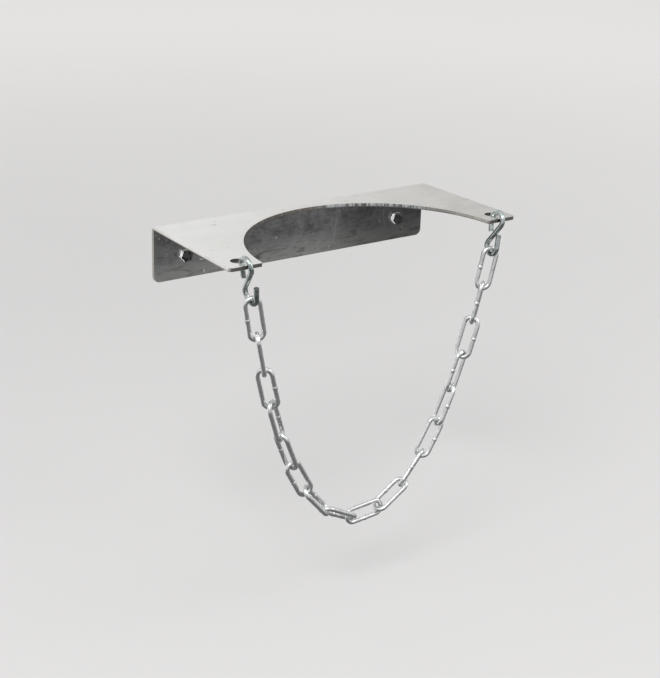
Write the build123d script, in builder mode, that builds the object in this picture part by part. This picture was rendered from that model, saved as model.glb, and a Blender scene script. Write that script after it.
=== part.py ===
"""Wall bracket for a gas cylinder: a folded sheet shelf with a round cutout, two wall bolts,
and a welded chain that hangs between two S-hooks in the tips of the shelf.

Millimetres. The wall face of the back plate is the plane Y = 0, the front is towards -Y, X runs
along the wall and +Z is up. The origin is on the wall face, midway between the two bolts.
"""
from build123d import *
from dataclasses import dataclass
import math
import os

# Folded sheet
SHEET = 3.0                 # thickness
BACK_WIDTH = 283.0          # shelf and back plate at the wall
FRONT_WIDTH = 290.0         # shelf across its two tips
SHELF_DEPTH = 128.0         # wall face to front edge
SHELF_TOP = 29.0            # above the bolts
PLATE_HEIGHT = 49.5         # shelf top to the lower edge of the back plate
FOLD_INSIDE = 2.0           # inner radius of the fold
PLATE_CORNER = 5.5          # lower corners of the back plate
TIP_CORNER = 4.0            # outer front corners of the shelf
TIP_INNER_CORNER = 1.5      # where the cutout runs out through the front edge

# Seat for the cylinder
SEAT_RADIUS = 115.0
SEAT_FROM_WALL = 133.3      # wall face to the axis of the cylinder

# Wall bolts, M6 with a hexagon head and a wood-screw point
BOLT_HALF_SPACING = 111.5
BOLT_HOLE_RADIUS = 3.5
BOLT_NECK_RADIUS = 3.2      # under the head, inside the plate's hole
BOLT_RADIUS = 3.0
BOLT_CORE_RADIUS = 2.2
BOLT_LENGTH = 50.0          # under the head
BOLT_THREAD = 32.0          # length of the thinner, threaded end
BOLT_POINT = 6.0
HEAD_ACROSS_FLATS = 10.0
HEAD_HEIGHT = 4.0
HEAD_CHAMFER = 0.6
HEAD_TURNS = {"left": 10.5, "right": 8.0}    # how far each head stopped turned, degrees

# Holes for the hooks
TIP_HOLE_RADIUS = 6.0
TIP_HOLE_HALF_SPACING = 129.3
TIP_HOLE_FROM_WALL = 114.3

# S-hooks: bent round wire. The upper bend goes through the hole and over the front edge.
HOOK_WIRE = 4.4
HOOK_BEND = 7.0             # radius of the upper bend at the middle of the wire
HOOK_HALF_SPACING = 127.5   # upper bends, on each side of the middle
HOOK_FROM_WALL = 124.0
HOOK_BELOW_SHELF = 2.4      # centre of the upper bend under the shelf's top face


@dataclass
class Hook:
    """What differs between the two S-hooks."""
    side: int               # -1 left, 1 right
    lean: float             # pulled towards the middle by the chain, degrees
    height: float           # between the two bend centres
    lower_bend: float       # radius at the middle of the wire
    rear_turn: float        # how far the upper bend goes past a half turn, degrees
    rear_leg: float         # straight free end behind the strip
    front_turn: float       # how far the lower bend goes past a half turn, degrees
    front_leg: float        # straight free end in front


# The left hook is pulled open at its lower end, the right one is pressed shut.
OPEN_HOOK = Hook(
    side=-1,
    lean=10.7,
    height=23.6,
    lower_bend=8.0,
    rear_turn=0.0,
    rear_leg=11.0,
    front_turn=-15.0,
    front_leg=10.7,
)
SHUT_HOOK = Hook(
    side=1,
    lean=9.6,
    height=23.4,
    lower_bend=6.4,
    rear_turn=14.0,
    rear_leg=9.5,
    front_turn=4.0,
    front_leg=11.3,
)

# Chain: long welded links, nominal size 4
LINKS = 17
LINK_WIRE = 4.0
LINK_PITCH = 32.0           # inside length
LINK_WIDTH = 16.0           # outside width
LINK_GAP = 0.15             # slack between touching wires
LAST_GAP = 0.6              # slack of the last link in the shut hook
BEND_SLACK = 1.7            # further slack in a joint that bends by this angle:
BEND_WITH_SLACK = math.radians(32)
TURN_SLACK = 0.7            # further slack in a joint that turns past square by this angle:
TURN_WITH_SLACK = 30.0
WELD_BULGE = 0.38           # height of the weld bead over the wire
WELD_HALF_LENGTH = 2.2
# How the links lie turned about their own length, in degrees. The first is turned from the wall's
# normal. Each later one lies square to the one before it and turned on by this much: the chain
# was hung with nearly one full twist in it.
FIRST_TURN = 108
EXTRA_TURNS = (10, 10, 15, 22, 20, 26, 28, 23, 21, 30, 28, 14, 22, 20, 5, 28)
WELDS_ON_SECOND_LEG = (1, 2, 3, 5, 8, 13, 16)
LOOP_LEAN = 2.15            # the shelf isn't quite level, so the loop hangs to the left, degrees

os.makedirs("parts", exist_ok=True)


def save(built, name):
    """Label a finished piece and write it to its own file."""
    built.part.label = name
    export_step(built.part, f"parts/{name}.step")


# ---------------------------------------------------------------- folded sheet
half_back = BACK_WIDTH / 2
half_front = FRONT_WIDTH / 2
fold_outside = FOLD_INSIDE + SHEET
shelf_under = SHELF_TOP - SHEET
plate_bottom = SHELF_TOP - PLATE_HEIGHT

with BuildPart() as bracket_plate:
    # The section across the fold, wider than the piece: the outlines below trim it.
    with BuildSketch(Plane.YZ):
        with BuildLine():
            Polyline(
                (-SHELF_DEPTH, SHELF_TOP),
                (0, SHELF_TOP),
                (0, plate_bottom),
                (-SHEET, plate_bottom),
                (-SHEET, shelf_under),
                (-SHELF_DEPTH, shelf_under),
                close=True,
            )
        make_face()
    extrude(amount=FRONT_WIDTH, both=True)
    fold = bracket_plate.edges().filter_by(Axis.X)
    fillet(fold.sort_by(lambda edge: edge.distance_to((0, 0, SHELF_TOP)))[0], fold_outside)
    inside = bracket_plate.edges().filter_by(Axis.X)
    fillet(inside.sort_by(lambda edge: edge.distance_to((0, -SHEET, shelf_under)))[0], FOLD_INSIDE)

    # Outline of the shelf: sides that spread towards the front, and the seat for the cylinder.
    with BuildSketch():
        with BuildLine():
            Polyline(
                (-half_back, SHEET),
                (-half_back, -SHEET),
                (-half_front, -SHELF_DEPTH),
                (half_front, -SHELF_DEPTH),
                (half_back, -SHEET),
                (half_back, SHEET),
                close=True,
            )
        make_face()
        with Locations((0, -SEAT_FROM_WALL)):
            Circle(SEAT_RADIUS, mode=Mode.SUBTRACT)
        front = vertices().group_by(Axis.Y)[0].sort_by(Axis.X)
        fillet([front[0], front[-1]], TIP_CORNER)
        front = vertices().group_by(Axis.Y)[0].sort_by(Axis.X)
        fillet(front[1:-1], TIP_INNER_CORNER)
        with Locations(
            (-TIP_HOLE_HALF_SPACING, -TIP_HOLE_FROM_WALL),
            (TIP_HOLE_HALF_SPACING, -TIP_HOLE_FROM_WALL),
        ):
            Circle(TIP_HOLE_RADIUS, mode=Mode.SUBTRACT)
    extrude(amount=2 * PLATE_HEIGHT, both=True, mode=Mode.INTERSECT)

    # Back plate: rounded lower corners and the two bolt holes.
    fillet(bracket_plate.edges().filter_by(Axis.Y).group_by(Axis.Z)[0], PLATE_CORNER)
    with Locations(Plane.XZ):
        with Locations((-BOLT_HALF_SPACING, 0), (BOLT_HALF_SPACING, 0)):
            Cylinder(BOLT_HOLE_RADIUS, 3 * SHEET, mode=Mode.SUBTRACT)
save(bracket_plate, "bracket_plate")


# ---------------------------------------------------------------- wall bolts
def wall_bolt(side, x):
    """Hexagon-head wall bolt, its head against the front of the back plate."""
    centre = (x, -SHEET, 0)
    head_plane = Plane(origin=centre, x_dir=(1, 0, 0), z_dir=(0, -1, 0))
    shank_plane = Plane(origin=centre, x_dir=(1, 0, 0), z_dir=(0, 1, 0))
    corner_radius = HEAD_ACROSS_FLATS / math.sqrt(3)
    smooth = BOLT_LENGTH - BOLT_THREAD
    with BuildPart() as bolt:
        with BuildSketch(head_plane):
            RegularPolygon(
                HEAD_ACROSS_FLATS / 2,
                6,
                major_radius=False,
                rotation=HEAD_TURNS[side],
            )
        extrude(amount=HEAD_HEIGHT)
        # The head's six points are turned off at the top.
        with BuildSketch(Plane(origin=centre, x_dir=(1, 0, 0), z_dir=(0, 0, 1))):
            with BuildLine():
                Polyline(
                    (0, 0),
                    (corner_radius + 1, 0),
                    (corner_radius + 1, HEAD_CHAMFER - HEAD_HEIGHT),
                    (HEAD_ACROSS_FLATS / 2 - HEAD_CHAMFER, -HEAD_HEIGHT),
                    (0, -HEAD_HEIGHT),
                    close=True,
                )
            make_face()
        revolve(axis=Axis(centre, (0, 1, 0)), mode=Mode.INTERSECT)
        with BuildSketch(shank_plane):
            Circle(BOLT_NECK_RADIUS)
        extrude(amount=SHEET)
        with BuildSketch(shank_plane.offset(SHEET)):
            Circle(BOLT_RADIUS)
        extrude(amount=smooth - SHEET)
        with BuildSketch(shank_plane.offset(smooth)):
            Circle(BOLT_CORE_RADIUS)
        extrude(amount=BOLT_THREAD - BOLT_POINT)
        with BuildSketch(shank_plane.offset(BOLT_LENGTH - BOLT_POINT)):
            Circle(BOLT_CORE_RADIUS)
        extrude(
            amount=BOLT_POINT,
            taper=math.degrees(math.atan(BOLT_CORE_RADIUS / BOLT_POINT)) * 0.95,
        )
    save(bolt, f"wall_bolt_{side}")


wall_bolt("left", -BOLT_HALF_SPACING)
wall_bolt("right", BOLT_HALF_SPACING)


# ---------------------------------------------------------------- S-hooks
def polar(centre, radius, degrees):
    """The point at this angle on a circle round centre."""
    turn = math.radians(degrees)
    return (centre[0] + radius * math.cos(turn), centre[1] + radius * math.sin(turn))


def hook_plane(hook):
    """The plane that a hook is bent in: x forward, y up along the hook, origin at its upper bend."""
    lean = math.radians(hook.lean) * hook.side
    return Plane(
        origin=(hook.side * HOOK_HALF_SPACING, -HOOK_FROM_WALL, SHELF_TOP - HOOK_BELOW_SHELF),
        x_dir=(0, -1, 0),
        z_dir=(-math.cos(lean), 0, math.sin(lean)),
    )


def s_hook(name, hook):
    """Round wire bent to an S: rear free end, upper bend, shank, lower bend, front free end."""
    upper = (0, 0)
    lower = (0, -hook.height)
    slope = math.degrees(math.asin((HOOK_BEND + hook.lower_bend) / hook.height))
    rear = polar(upper, HOOK_BEND, 180 + hook.rear_turn)
    front = polar(lower, hook.lower_bend, hook.front_turn)
    with BuildPart() as bent_hook:
        with BuildLine(hook_plane(hook)) as route:
            Line(polar(rear, hook.rear_leg, 270 + hook.rear_turn), rear)
            CenterArc(upper, HOOK_BEND, 180 + hook.rear_turn, -(180 + hook.rear_turn + slope))
            Line(polar(upper, HOOK_BEND, -slope), polar(lower, hook.lower_bend, 180 - slope))
            CenterArc(lower, hook.lower_bend, 180 - slope, 180 + slope + hook.front_turn)
            Line(front, polar(front, hook.front_leg, 90 + hook.front_turn))
        bent = route.wire()
        with BuildSketch(Plane(origin=bent @ 0, z_dir=bent % 0)):
            Circle(HOOK_WIRE / 2)
        sweep(path=bent)
    save(bent_hook, name)


s_hook("s_hook_left", OPEN_HOOK)
s_hook("s_hook_right", SHUT_HOOK)


# ---------------------------------------------------------------- chain
def hanging_point(hook, gap):
    """Where a hook holds the chain: just over the inside of its lower bend, at the bottom."""
    inside = hook.height + hook.lower_bend - HOOK_WIRE / 2 - gap
    point = hook_plane(hook).from_local_coords((0, -inside, 0))
    return Vector(point)


def joint_slacks(slopes):
    """Slack in each joint of the chain. A bend or a turn needs more, so that the wires clear."""
    slacks = [LINK_GAP]
    for above, below, turn in zip(slopes, slopes[1:], EXTRA_TURNS):
        bend = (above - below) / BEND_WITH_SLACK
        slacks.append(LINK_GAP + BEND_SLACK * bend**2 + TURN_SLACK * (turn / TURN_WITH_SLACK) ** 3)
    return slacks + [LINK_GAP]


def link_reaches(slopes):
    """Distance between the two joints of each link."""
    slacks = joint_slacks(slopes)
    return [LINK_PITCH - (a + b) / 2 for a, b in zip(slacks, slacks[1:])]


def halve(low, high, too_low):
    """The value between low and high at which too_low turns false."""
    for _ in range(50):
        middle = (low + high) / 2
        if too_low(middle):
            low = middle
        else:
            high = middle
    return (low + high) / 2


def chain_slopes(span, drop):
    """Downward angle of each link, for equal rigid links hung between two points.

    The tangent of the angle falls by the same step from each link to the next.
    """
    def slopes(step, level_link):
        return [math.atan(step * (level_link - n)) for n in range(1, LINKS + 1)]

    def level_link(step):
        def falls_short(link):
            angles = slopes(step, link)
            fall = sum(r * math.sin(a) for r, a in zip(link_reaches(angles), angles))
            return fall < drop

        return halve(1, LINKS, falls_short)

    def reaches_too_far(step):
        angles = slopes(step, level_link(step))
        return sum(r * math.cos(a) for r, a in zip(link_reaches(angles), angles)) > span

    step = halve(0.01, 5, reaches_too_far)
    return slopes(step, level_link(step))


def chain_turn(number):
    """How far a link lies turned about its own length, in degrees."""
    return FIRST_TURN + sum(EXTRA_TURNS[:number - 1]) + 90 * (number - 1)


def chain_link(number, start, along):
    """One welded link. start is the inside of its first end, along its direction."""
    across = Vector(0, 1, 0)
    turned = across.rotate(Axis((0, 0, 0), along), chain_turn(number))
    if number in WELDS_ON_SECOND_LEG:
        turned = -turned
    middle = start + along * (LINK_PITCH / 2)
    plane = Plane(origin=middle, x_dir=turned, z_dir=turned.cross(along))
    end_radius = (LINK_WIDTH - LINK_WIRE) / 2
    half_leg = (LINK_PITCH + LINK_WIRE) / 2 - end_radius
    with BuildPart() as link:
        with BuildLine(plane) as route:
            Line((end_radius, 0), (end_radius, half_leg))
            CenterArc((0, half_leg), end_radius, 0, 180)
            Line((-end_radius, half_leg), (-end_radius, -half_leg))
            CenterArc((0, -half_leg), end_radius, 180, 180)
            Line((end_radius, -half_leg), (end_radius, 0))
        loop = route.wire()
        with BuildSketch(Plane(origin=loop @ 0, z_dir=loop % 0)):
            Circle(LINK_WIRE / 2)
        sweep(path=loop)
        # The weld is a low round bead about the middle of one leg.
        with BuildSketch(plane):
            with BuildLine():
                ThreePointArc(
                    (end_radius, -WELD_HALF_LENGTH - 1),
                    (end_radius + LINK_WIRE / 2 + WELD_BULGE, 0),
                    (end_radius, WELD_HALF_LENGTH + 1),
                )
                Line((end_radius, WELD_HALF_LENGTH + 1), (end_radius, -WELD_HALF_LENGTH - 1))
            make_face()
        leg = Axis(plane.from_local_coords((end_radius, 0, 0)), plane.y_dir)
        revolve(axis=leg)
    save(link, f"chain_link_{number:02d}")


chain_start = hanging_point(OPEN_HOOK, LINK_GAP)
chain_end = hanging_point(SHUT_HOOK, LAST_GAP)
# The slopes are found in the leaning frame that the loop hangs plumb in.
plumb = Vector(0, 0, -1).rotate(Axis.Y, LOOP_LEAN)
level = Vector(1, 0, 0).rotate(Axis.Y, LOOP_LEAN)
chord = chain_end - chain_start
angles = chain_slopes(chord.dot(level), chord.dot(plumb))
joint = chain_start
for number, (angle, slack, reach) in enumerate(
    zip(angles, joint_slacks(angles), link_reaches(angles)), start=1
):
    direction = level * math.cos(angle) + plumb * math.sin(angle)
    chain_link(number, joint - direction * (slack / 2), direction)
    joint = joint + direction * reach
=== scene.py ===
"""Looks of the gas cylinder bracket: zinc-coated sheet, wall bolts, S-hooks and welded chain."""

import math

import bpy
from mathutils import Matrix, Vector


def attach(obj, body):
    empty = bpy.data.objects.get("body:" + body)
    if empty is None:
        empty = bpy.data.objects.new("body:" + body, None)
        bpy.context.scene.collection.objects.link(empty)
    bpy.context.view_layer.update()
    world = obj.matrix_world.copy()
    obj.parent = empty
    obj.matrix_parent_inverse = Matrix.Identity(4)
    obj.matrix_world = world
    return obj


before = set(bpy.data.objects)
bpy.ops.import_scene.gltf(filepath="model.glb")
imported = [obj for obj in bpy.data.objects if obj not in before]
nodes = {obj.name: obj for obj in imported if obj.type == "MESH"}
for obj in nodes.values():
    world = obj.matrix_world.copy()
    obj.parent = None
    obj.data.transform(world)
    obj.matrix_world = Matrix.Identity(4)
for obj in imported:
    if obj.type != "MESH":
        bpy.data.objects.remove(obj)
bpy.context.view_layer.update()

MM = 0.001

# ---------------------------------------------------------------- camera
IMAGE_LONG_SIDE = 678
FOCAL_PIXELS = 1542.9
SHIFT_PIXELS = 0.5
SENSOR_WIDTH = 36
CAMERA_PLACE = Vector((-0.73485, -1.07894, 0.40293))
CAMERA_AZIMUTH = math.radians(-35.818)
CAMERA_DOWN = math.radians(21.013)
CAMERA_ROLL = math.radians(-1.873)

camera_data = bpy.data.cameras.new("camera")
camera_data.sensor_width = SENSOR_WIDTH
camera_data.lens = SENSOR_WIDTH * FOCAL_PIXELS / IMAGE_LONG_SIDE
camera_data.shift_y = SHIFT_PIXELS / IMAGE_LONG_SIDE
camera = bpy.data.objects.new("camera", camera_data)
bpy.context.scene.collection.objects.link(camera)
bpy.context.scene.camera = camera
ahead = Vector((
    -math.sin(CAMERA_AZIMUTH) * math.cos(CAMERA_DOWN),
    math.cos(CAMERA_AZIMUTH) * math.cos(CAMERA_DOWN),
    -math.sin(CAMERA_DOWN),
))
level = Vector((math.cos(CAMERA_AZIMUTH), math.sin(CAMERA_AZIMUTH), 0))
under = ahead.cross(level)
right = level * math.cos(CAMERA_ROLL) + under * math.sin(CAMERA_ROLL)
down = under * math.cos(CAMERA_ROLL) - level * math.sin(CAMERA_ROLL)
camera.matrix_world = Matrix.Translation(CAMERA_PLACE) @ Matrix(
    (right, -down, -ahead)
).transposed().to_4x4()


# ---------------------------------------------------------------- node helpers
class Nodes:
    """Short calls for the shader nodes of one tree."""

    def __init__(self, tree):
        self.tree = tree

    def add(self, kind, **inputs):
        node = self.tree.nodes.new(kind)
        for name, value in inputs.items():
            self.give(node.inputs[name.replace("_", " ")], value)
        return node

    def give(self, socket, value):
        if isinstance(value, bpy.types.NodeSocket):
            self.tree.links.new(value, socket)
        else:
            socket.default_value = value

    def math(self, operation, a, b=0.0, c=0.0):
        node = self.tree.nodes.new("ShaderNodeMath")
        node.operation = operation
        for socket, value in zip(node.inputs, (a, b, c)):
            self.give(socket, value)
        return node.outputs[0]

    def times(self, a, b):
        return self.math("MULTIPLY", a, b)

    def plus(self, a, b):
        return self.math("ADD", a, b)

    def minus(self, a, b):
        return self.math("SUBTRACT", a, b)

    def either(self, a, b):
        return self.math("MAXIMUM", a, b)

    def above(self, value, limit):
        return self.math("GREATER_THAN", value, limit)

    def below(self, value, limit):
        return self.math("LESS_THAN", value, limit)

    def size(self, value):
        return self.math("ABSOLUTE", value)

    def length(self, vector):
        node = self.add("ShaderNodeVectorMath", Vector=vector)
        node.operation = "LENGTH"
        return node.outputs["Value"]

    def split(self, vector):
        return self.add("ShaderNodeSeparateXYZ", Vector=vector).outputs

    def join(self, x, y, z):
        return self.add("ShaderNodeCombineXYZ", X=x, Y=y, Z=z).outputs[0]

    def stretch(self, vector, scale, place=(0, 0, 0)):
        return self.add("ShaderNodeMapping", Vector=vector, Scale=scale, Location=place).outputs[0]

    def noise(self, vector, scale, detail=3.0, roughness=0.5, distortion=0.0):
        node = self.add("ShaderNodeTexNoise", Vector=vector, Scale=scale, Detail=detail)
        self.give(node.inputs["Roughness"], roughness)
        self.give(node.inputs["Distortion"], distortion)
        return node.outputs["Fac"]

    def span(self, value, low, high, to_low=0.0, to_high=1.0):
        """Maps low..high smoothly onto to_low..to_high and stays inside them."""
        node = self.tree.nodes.new("ShaderNodeMapRange")
        node.interpolation_type = "SMOOTHSTEP"
        for name, given in (
            ("Value", value), ("From Min", low), ("From Max", high),
            ("To Min", to_low), ("To Max", to_high),
        ):
            self.give(node.inputs[name], given)
        return node.outputs["Result"]

    def mix(self, factor, a, b, blend="MIX"):
        node = self.tree.nodes.new("ShaderNodeMix")
        node.data_type = "RGBA"
        node.blend_type = blend
        for index, value in ((0, factor), (6, a), (7, b)):
            self.give(node.inputs[index], value)
        return node.outputs[2]

    def bump(self, height, distance, strength=1.0, under=None):
        node = self.add("ShaderNodeBump", Height=height, Distance=distance, Strength=strength)
        if under is not None:
            self.give(node.inputs["Normal"], under)
        return node.outputs[0]


def grey(value, tint=(1, 1, 1)):
    return (value * tint[0], value * tint[1], value * tint[2], 1)


def new_material(name):
    made = bpy.data.materials.new(name)
    made.use_nodes = True
    return made, Nodes(made.node_tree), made.node_tree.nodes["Principled BSDF"]


# ---------------------------------------------------------------- materials
# Sizes of the bracket plate, by which the materials find its faces and edges
SEAT_FROM_WALL = 133.3 * MM
SEAT_RADIUS = 115 * MM
SHEET = 3 * MM
SHELF_TOP = 29 * MM
FOLD_INSIDE = 2 * MM
FOLD_REACH = 5.6 * MM       # the fold's outer radius and a little more
SPARE = 0.4 * MM            # how far off a face still counts as on it
RIM = 1.5 * MM              # the seat's marks reach this far past its edge
FACING = 0.8                # part of a normal along an axis that counts as facing that way
HEAD_FACING = 0.75          # the same for the face of a bolt's head
SIDEWAYS = 0.5              # the fold's cut ends point sideways by more than this

# Tones of the zinc
SHELF_CLOUDED = grey(0.80, (1, 1, 0.985))
SHELF_CLEAN = grey(0.88, (1, 1, 0.99))
BLEMISH = grey(0.50, (1, 0.97, 0.92))
# Painted shade: the back plate's two tones are far darker than the shelf's zinc, standing in for the
# dark room the plate mirrors; the mottling between them is its own smudging
PLATE_SMUDGED_SHADED_DARK = grey(0.16, (1, 0.98, 0.98))
PLATE_SMUDGED_SHADED_GREY = grey(0.39, (0.98, 0.99, 1))
PLATE_LOW = grey(0.60, (1, 1, 0.97))
SCUFF = grey(0.85, (0.95, 0.96, 1))
SPECK = grey(0.95)
WALL_SIDE_DULL = grey(0.46, (1, 0.99, 0.97))
WALL_SIDE_CLEAN = grey(0.66, (1, 1, 0.99))
EDGE_CLOUDED = grey(0.74, (1, 0.98, 0.95))
EDGE_CLEAN = grey(0.86, (1, 0.99, 0.98))
# Painted shade: the tips' front edges are darkened; their brownish tint is their own
EDGE_FRONT_SHADED = grey(0.24, (1, 0.95, 0.88))
EDGE_TORN = grey(0.24, (1, 0.93, 0.84))
MARK_DARK = grey(0.18, (0.95, 0.98, 1))
MARK_BRIGHT = grey(1.0, (0.96, 0.99, 1))
STAIN_LEFT = grey(0.24, (1, 0.88, 0.74))
STAIN_RIGHT = grey(0.46, (1, 0.96, 0.88))
STAIN_GLEAM = grey(0.80)
WIRE_SPOT = grey(0.33, (1, 0.97, 0.92))
HEAD_FLAT_DULL = grey(0.80, (1, 1, 0.98))
HEAD_FLAT_CLEAN = grey(0.96, (1, 1, 0.99))
# Painted shade: the bolt heads' faces are near-black, standing in for the dark room they mirror
HEAD_FACE_SHADED_DARK = grey(0.03, (1, 1, 0.98))
HEAD_FACE_SHADED_GREY = grey(0.16, (1, 1, 0.99))
SHANK_DULL = grey(0.46, (1, 0.99, 0.96))
SHANK_CLEAN = grey(0.66, (1, 1, 0.98))


class BracketSurface:
    """Where a point of the bracket plate lies. The masks are 1 on their part and 0 elsewhere.
    The turn is the angle round the seat from its back, and the height is above the shelf's
    underside."""

    def __init__(self, n):
        coordinates = n.add("ShaderNodeTexCoord")
        self.place = coordinates.outputs["Object"]
        self.x, self.y, self.z = n.split(self.place)
        nx, ny, nz = n.split(coordinates.outputs["Normal"])
        in_shelf = n.above(self.z, SHELF_TOP - SHEET - SPARE)
        in_plate = n.above(self.y, -SHEET - SPARE)
        level = n.times(n.above(n.size(nz), FACING), in_shelf)
        upright = n.times(n.above(n.size(ny), FACING), in_plate)
        corner = n.math("MINIMUM", self.y, n.minus(self.z, SHELF_TOP))
        fold = n.times(n.above(corner, -FOLD_REACH), n.below(n.size(nx), SIDEWAYS))
        self.cut = n.minus(1.0, n.either(n.either(level, upright), fold))
        front = n.below(ny, -FACING)
        self.plate_front = n.times(n.times(front, in_plate), n.below(self.z, SHELF_TOP - FOLD_INSIDE))
        self.plate_back = n.times(n.above(ny, FACING), in_plate)
        self.front_edge = n.times(front, n.above(self.z, SHELF_TOP - SHEET))
        self.height = n.minus(self.z, SHELF_TOP - SHEET)
        from_axis = n.plus(self.y, SEAT_FROM_WALL)
        self.turn = n.math("ARCTAN2", self.x, from_axis)
        reach = n.length(n.join(self.x, from_axis, 0.0))
        self.seat_edge = n.below(reach, SEAT_RADIUS + RIM)
        rear_right = n.times(n.span(self.turn, 0.05, 0.25), n.span(self.turn, 1.12, 0.8))
        self.marked = n.times(rear_right, self.seat_edge)


def shelf_colour(n, surface, tone):
    """Cloudy zinc with a few small blemishes."""
    colour = n.mix(n.span(tone, 0.3, 0.7), SHELF_CLOUDED, SHELF_CLEAN)
    shifted = n.stretch(surface.place, (1, 1, 1), (0.7, 0.2, 0))
    blemish = n.span(n.noise(shifted, scale=150, detail=2, roughness=0.4), 0.70, 0.76)
    return n.mix(n.times(blemish, 0.5), colour, BLEMISH)


def plate_colour_with_painted_shade(n, surface, dull, smudge, wiped):
    """Zinc toned far darker than the shelf, partly as painted shade and partly by its own smudges,
    paler low down, darker to the right as painted shade, with scuffs and bright specks.
    """
    # Painted shade in the dark tones, real smudges in their mottling
    colour = n.mix(n.span(dull, 0.36, 0.64), PLATE_SMUDGED_SHADED_DARK, PLATE_SMUDGED_SHADED_GREY)
    low = n.times(n.span(surface.z, 0.004, -0.018), n.span(wiped, 0.2, 0.55))
    colour = n.mix(n.times(low, 0.8), colour, PLATE_LOW)
    upright = n.stretch(surface.place, (150, 150, 22), (0.4, 0, 0.2))
    scuffs = n.noise(upright, scale=1, detail=2, roughness=0.5, distortion=2.2)
    scuffs = n.times(n.span(scuffs, 0.62, 0.72), n.span(smudge, 0.42, 0.60))
    colour = n.mix(n.times(scuffs, 0.35), colour, SCUFF)
    shifted = n.stretch(surface.place, (1, 1, 1), (0.3, 0, 0.1))
    specks = n.span(n.noise(shifted, scale=230, detail=2, roughness=0.4), 0.71, 0.76)
    colour = n.mix(n.times(specks, 0.7), colour, SPECK)
    # Painted shade: the plate's colour darkens towards the right
    shade = n.span(surface.x, 0.0, 0.11, 1.0, 0.42)
    return n.mix(1.0, colour, n.join(shade, shade, shade), "MULTIPLY")


def edge_colour(n, surface, clouds, marks):
    """Cut edges: clean at the shelf's top, torn and dark below, brownish and darkened as painted
    shade at the tips' fronts.
    The round cutout's edge is stained, browner to the left, with bright and dark cross marks at
    its rear right."""
    seat = n.mix(n.span(surface.turn, -0.3, 0.6), STAIN_LEFT, STAIN_RIGHT)
    seat = n.mix(n.times(n.span(marks, 0.45, 0.7), 0.35), seat, STAIN_GLEAM)
    cross_marks = n.mix(n.span(marks, 0.38, 0.62), MARK_DARK, MARK_BRIGHT)
    seat = n.mix(surface.marked, seat, cross_marks)
    outer = n.mix(n.span(clouds, 0.3, 0.7), EDGE_CLOUDED, EDGE_CLEAN)
    # Painted shade on the tips' front edges
    outer = n.mix(surface.front_edge, outer, EDGE_FRONT_SHADED)
    torn = n.span(surface.height, 0.0011, 0.0004)
    return n.mix(n.times(torn, 0.75), n.mix(surface.seat_edge, outer, seat), EDGE_TORN)


def sheet_material():
    """Zinc-coated sheet: pale satin faces, a back plate darker partly from its smudges and partly as
    painted shade, cut edges.
    """
    made, n, shader = new_material("zinc_coated_sheet")
    surface = BracketSurface(n)
    place = surface.place

    # Patterns: clouds and rolling streaks on the sheet, smudges and wiped bands on the back
    # plate, cross marks round the seat's edge.
    clouds = n.noise(place, scale=28, detail=4, roughness=0.6, distortion=0.4)
    streaks = n.noise(n.stretch(place, (9, 260, 260)), scale=1, detail=3, roughness=0.6)
    tone = n.plus(n.times(clouds, 0.7), n.times(streaks, 0.3))
    smudge = n.noise(
        n.stretch(place, (1, 1, 1.6)), scale=34, detail=5, roughness=0.65, distortion=0.6
    )
    wiped = n.noise(
        n.stretch(place, (40, 40, 160)), scale=1, detail=4, roughness=0.6, distortion=1.5
    )
    fleck = n.noise(place, scale=210, detail=3, roughness=0.6)
    dull = n.plus(n.plus(n.times(smudge, 0.45), n.times(wiped, 0.3)), n.times(fleck, 0.25))
    across = n.join(n.times(surface.turn, 44.0), n.times(surface.z, 60.0), 0.0)
    marks = n.noise(across, scale=1, detail=3, roughness=0.7)

    wall_side = n.mix(n.span(dull, 0.38, 0.62), WALL_SIDE_DULL, WALL_SIDE_CLEAN)
    faces = shelf_colour(n, surface, tone)
    faces = n.mix(surface.plate_front, faces, plate_colour_with_painted_shade(n, surface, dull, smudge, wiped))
    faces = n.mix(surface.plate_back, faces, wall_side)
    edges = edge_colour(n, surface, clouds, marks)
    n.give(shader.inputs["Base Color"], n.mix(surface.cut, faces, edges))

    shader.inputs["Metallic"].default_value = 1.0
    plate_roughness = n.span(dull, 0.35, 0.65, 0.34, 0.26)
    face_roughness = n.mix(surface.plate_front, n.span(tone, 0.25, 0.75, 0.27, 0.36), plate_roughness)
    edge_roughness = n.span(marks, 0.4, 0.62, 0.42, 0.28)
    n.give(shader.inputs["Roughness"], n.mix(surface.cut, face_roughness, edge_roughness))

    grain = n.noise(place, scale=900, detail=2, roughness=0.5)
    drawn = n.stretch(place, (700, 700, 24))
    scratches = n.noise(drawn, scale=1, detail=2, roughness=0.5, distortion=0.8)
    fine = n.bump(n.plus(grain, n.times(scratches, 0.7)), distance=0.00003, strength=0.35)
    rolled = n.bump(clouds, distance=0.0004, strength=0.25, under=fine)
    depth = n.plus(n.times(surface.marked, 0.85), n.times(surface.seat_edge, 0.15))
    notches = n.bump(n.times(marks, depth), distance=0.0012, strength=0.8, under=rolled)
    n.give(shader.inputs["Normal"], notches)
    return made


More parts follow.
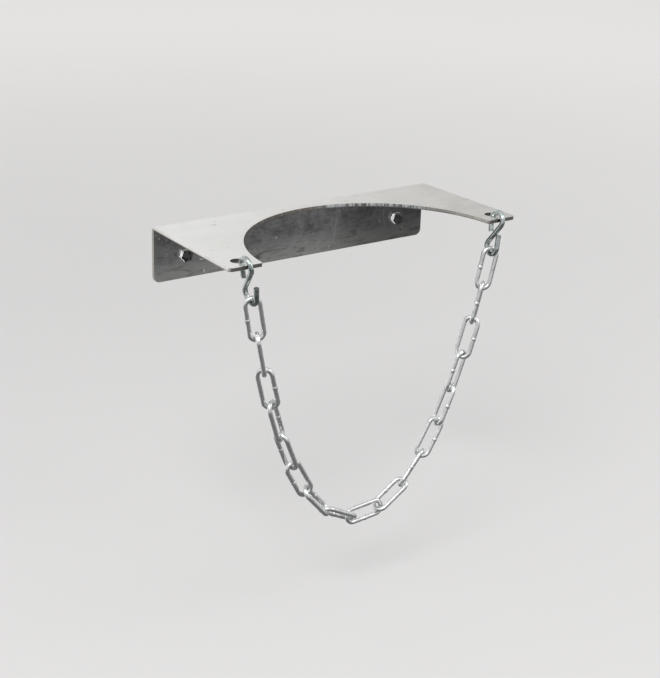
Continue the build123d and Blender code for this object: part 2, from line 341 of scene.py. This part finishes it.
def wire_material(name, light, dark, smooth, rough):
    """Bright zinc on bent wire: a thin uneven coat with dull patches, spots and small dents."""
    made, n, shader = new_material(name)
    place = n.add("ShaderNodeTexCoord").outputs["Object"]
    patches = n.noise(place, scale=130, detail=4, roughness=0.6, distortion=0.5)
    fine = n.noise(place, scale=900, detail=3, roughness=0.6)
    tone = n.plus(n.times(patches, 0.7), n.times(fine, 0.3))
    colour = n.mix(n.span(tone, 0.32, 0.66), dark, light)
    shifted = n.stretch(place, (1, 1, 1), (0.2, 0.1, 0))
    spots = n.span(n.noise(shifted, scale=420, detail=2, roughness=0.5), 0.66, 0.74)
    n.give(shader.inputs["Base Color"], n.mix(n.times(spots, 0.6), colour, WIRE_SPOT))
    shader.inputs["Metallic"].default_value = 1.0
    n.give(shader.inputs["Roughness"], n.span(tone, 0.3, 0.7, rough, smooth))
    dented = n.noise(place, scale=260, detail=2, roughness=0.5)
    dents = n.bump(dented, distance=0.0004, strength=0.35)
    n.give(shader.inputs["Normal"], n.bump(fine, distance=0.00006, strength=0.5, under=dents))
    return made


def bolt_material():
    """Zinc-plated bolt: pale flats on the head, a head face made near-black as painted shade, and a
    duller shank.
    """
    made, n, shader = new_material("bolt_zinc")
    coordinates = n.add("ShaderNodeTexCoord")
    place = coordinates.outputs["Object"]
    patches = n.noise(place, scale=320, detail=4, roughness=0.6, distortion=0.3)
    worn = n.span(patches, 0.35, 0.65)
    face = n.below(n.split(coordinates.outputs["Normal"])[1], -HEAD_FACING)
    head = n.below(n.split(place)[1], -SHEET)
    # The face's near-black tones are painted shade
    head_colour = n.mix(
        face,
        n.mix(worn, HEAD_FLAT_DULL, HEAD_FLAT_CLEAN),
        n.mix(worn, HEAD_FACE_SHADED_DARK, HEAD_FACE_SHADED_GREY),
    )
    shank_colour = n.mix(worn, SHANK_DULL, SHANK_CLEAN)
    n.give(shader.inputs["Base Color"], n.mix(head, shank_colour, head_colour))
    flats = n.times(head, n.minus(1.0, face))
    n.give(shader.inputs["Metallic"], n.mix(flats, grey(1.0), grey(0.4)))
    n.give(shader.inputs["Roughness"], n.span(patches, 0.3, 0.7, 0.34, 0.22))
    grain = n.noise(place, scale=1500, detail=2, roughness=0.6)
    uneven = n.bump(patches, distance=0.0002, strength=0.3)
    n.give(shader.inputs["Normal"], n.bump(grain, distance=0.00004, strength=0.4, under=uneven))
    return made


zinc_sheet = sheet_material()
# Painted shade in part: the hooks' teal zinc is set darker than the chain's to stand in for the dark
# room their shaded sides mirror; the teal tint is their own
hook_zinc = wire_material(
    "hook_zinc",
    light=grey(0.68, (0.92, 1, 0.99)),
    dark=grey(0.24, (0.85, 1, 0.98)),
    smooth=0.12,
    rough=0.25,
)
chain_zinc = wire_material(
    "chain_zinc",
    light=grey(0.86, (0.99, 1, 1)),
    dark=grey(0.62, (0.97, 1, 0.99)),
    smooth=0.20,
    rough=0.36,
)
bolt_zinc = bolt_material()


def finish_node(name, made):
    for slot in nodes[name].material_slots:
        slot.material = made


for name in nodes:
    if name.startswith("chain_link"):
        finish_node(name, chain_zinc)
    elif name.startswith("s_hook"):
        finish_node(name, hook_zinc)
    elif name.startswith("wall_bolt"):
        finish_node(name, bolt_zinc)
finish_node("bracket_plate", zinc_sheet)


# ---------------------------------------------------------------- screw threads
BOLT_HALF_SPACING = 111.5 * MM
THREAD_START = 15 * MM
THREAD_END = 46 * MM
POINT_START = 41 * MM
POINT_END = 47 * MM
POINT_THINNEST = 0.12       # of the core's radius
CORE = 2.2 * MM
CREST = 2.95 * MM
THREAD_PITCH = 2.6 * MM
RIDGE_HALF_FOOT = 0.55 * MM
RIDGE_HALF_TOP = 0.07 * MM
RIDGE_SUNK = 0.08 * MM      # the ridge's foot lies inside the core
RISE = 12                   # the ridge is at full height after a twelfth of its length...
FADE = 9                    # ...and falls again over its last ninth
STEPS_A_TURN = 36


def ridge_section(part):
    """Radius and offset along the bolt of the ridge's four corners, at this part of its length."""
    along = THREAD_START + (THREAD_END - THREAD_START) * part
    core = CORE
    if along > POINT_START:
        core *= max(POINT_THINNEST, (POINT_END - along) / (POINT_END - POINT_START))
    crest = core + (CREST - CORE) * min(1, part * RISE, (1 - part) * FADE)
    foot = core - RIDGE_SUNK
    return (
        (foot, along - RIDGE_HALF_FOOT),
        (crest, along - RIDGE_HALF_TOP),
        (crest, along + RIDGE_HALF_TOP),
        (foot, along + RIDGE_HALF_FOOT),
    )


def screw_thread(name, x):
    """A wood-screw thread: one ridge that winds round the core and fades out at both ends."""
    steps = int((THREAD_END - THREAD_START) / THREAD_PITCH * STEPS_A_TURN)
    points = []
    for step in range(steps + 1):
        turn = 2 * math.pi * step / STEPS_A_TURN
        for radius, along in ridge_section(step / steps):
            points.append((x + radius * math.cos(turn), along, radius * math.sin(turn)))
    faces = []
    for first in range(0, steps * 4, 4):
        for corner in range(4):
            a = first + corner
            b = first + (corner + 1) % 4
            faces.append((a, b, b + 4, a + 4))
    faces.append((3, 2, 1, 0))
    faces.append(tuple(steps * 4 + corner for corner in range(4)))
    mesh = bpy.data.meshes.new(name)
    mesh.from_pydata(points, [], faces)
    mesh.update()
    piece = bpy.data.objects.new(name, mesh)
    bpy.context.scene.collection.objects.link(piece)
    mesh.materials.append(bolt_zinc)
    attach(piece, "bracket")


screw_thread("wall_bolt_left_thread", -BOLT_HALF_SPACING)
screw_thread("wall_bolt_right_thread", BOLT_HALF_SPACING)


# ---------------------------------------------------------------- studio
FLOOR_HEIGHT = -0.291
FLOOR_SIZE = 40
FLOOR_NEAR = 0.3            # the floor gets paler to the eye from here...
FLOOR_FAR = 3.0             # ...to here, by this much
FLOOR_LIFT = 0.24
WARM = (1, 0.985, 0.97)
FLOOR_DULL = grey(0.78, (1, 0.99, 0.985))
FLOOR_CLEAN = grey(0.80, (1, 0.99, 0.985))
BACKGROUND = grey(0.78, WARM)
AMBIENT = grey(0.62)
ROOM_LOW = grey(0.18)
ROOM_MIDDLE = grey(0.68)
ROOM_HIGH = grey(0.95)
WALL_NEAR = grey(0.92, (1, 0.995, 0.985))
WALL_FAR = grey(0.47, (1, 0.98, 0.94))
WALL_LOW = grey(0.20)
OBJECT_MIDDLE = (0, -0.06, -0.02)
HEAD_FROM_WALL = 5 * MM
GLINT_FROM = Vector((-0.48, -0.36, 0))
GLINT_POWER = 30
GLINT_ANGLE = math.radians(1.9)


def floor():
    """A pale floor that stays evenly pale to the eye far behind the object."""
    bpy.ops.mesh.primitive_plane_add(size=FLOOR_SIZE, location=(0, 0, FLOOR_HEIGHT))
    plane = bpy.context.object
    plane.name = "floor"
    made, n, shader = new_material("floor_pale")
    place = n.add("ShaderNodeTexCoord").outputs["Object"]
    uneven = n.noise(place, scale=3, detail=2)
    n.give(shader.inputs["Base Color"], n.mix(uneven, FLOOR_DULL, FLOOR_CLEAN))
    shader.inputs["Roughness"].default_value = 0.9
    shader.inputs["Specular IOR Level"].default_value = 0.1
    lift = n.span(n.length(place), FLOOR_NEAR, FLOOR_FAR, 0.0, FLOOR_LIFT)
    shader.inputs["Emission Color"].default_value = grey(1.0, WARM)
    seen = n.add("ShaderNodeLightPath").outputs["Is Camera Ray"]
    n.give(shader.inputs["Emission Strength"], n.times(lift, seen))
    plane.data.materials.append(made)
    plane.visible_glossy = False


def sky():
    """Even pale light all round. What the zinc mirrors is a white wall behind it, and in front a
    room that is bright above, middling at eye level and dark low down."""
    world = bpy.data.worlds.new("studio")
    bpy.context.scene.world = world
    world.use_nodes = True
    world.node_tree.nodes.clear()
    n = Nodes(world.node_tree)
    output = n.add("ShaderNodeOutputWorld")
    dx, dy, dz = n.split(n.add("ShaderNodeTexCoord").outputs["Generated"])
    room = n.mix(n.span(dz, -0.33, -0.14), ROOM_LOW, ROOM_MIDDLE)
    room = n.mix(n.span(dz, 0.20, 0.60), room, ROOM_HIGH)
    wall = n.mix(n.span(dx, 0.44, 0.70), WALL_NEAR, WALL_FAR)
    wall = n.mix(n.span(dz, -0.45, -0.80), wall, WALL_LOW)
    surroundings = n.mix(n.span(dy, -0.02, 0.30), room, wall)
    ray = n.add("ShaderNodeLightPath").outputs
    mirrored = n.either(ray["Is Glossy Ray"], ray["Is Transmission Ray"])
    plain = n.mix(ray["Is Camera Ray"], AMBIENT, BACKGROUND)
    shade = n.add("ShaderNodeBackground", Color=n.mix(mirrored, plain, surroundings), Strength=1.0)
    n.give(output.inputs["Surface"], shade.outputs[0])


def place_light(name, data, place, target):
    light = bpy.data.objects.new(name, data)
    bpy.context.scene.collection.objects.link(light)
    light.location = place
    light.rotation_euler = (Vector(target) - Vector(place)).to_track_quat("-Z", "Y").to_euler()
    return light


def lamp(name, place, size, power):
    """A wide soft lamp that looks at the object."""
    data = bpy.data.lights.new(name, "AREA")
    data.shape = "DISK"
    data.size = size
    data.energy = power
    place_light(name, data, place, OBJECT_MIDDLE)


def glint(name, bolt_x):
    """A narrow beam from the left that picks out the head of one wall bolt under the shelf."""
    data = bpy.data.lights.new(name, "SPOT")
    data.energy = GLINT_POWER
    data.spot_size = GLINT_ANGLE
    data.spot_blend = 0.4
    data.shadow_soft_size = 0.01
    head = Vector((bolt_x, -HEAD_FROM_WALL, 0))
    place_light(name, data, head + GLINT_FROM, head).visible_glossy = False


floor()
sky()
lamp("key", (-1.3, -1.0, 1.7), size=1.2, power=22)
lamp("fill", (1.6, -1.2, 1.2), size=1.2, power=10)
glint("glint_left", -BOLT_HALF_SPACING)
glint("glint_right", BOLT_HALF_SPACING)

bpy.context.scene.view_settings.view_transform = "Standard"
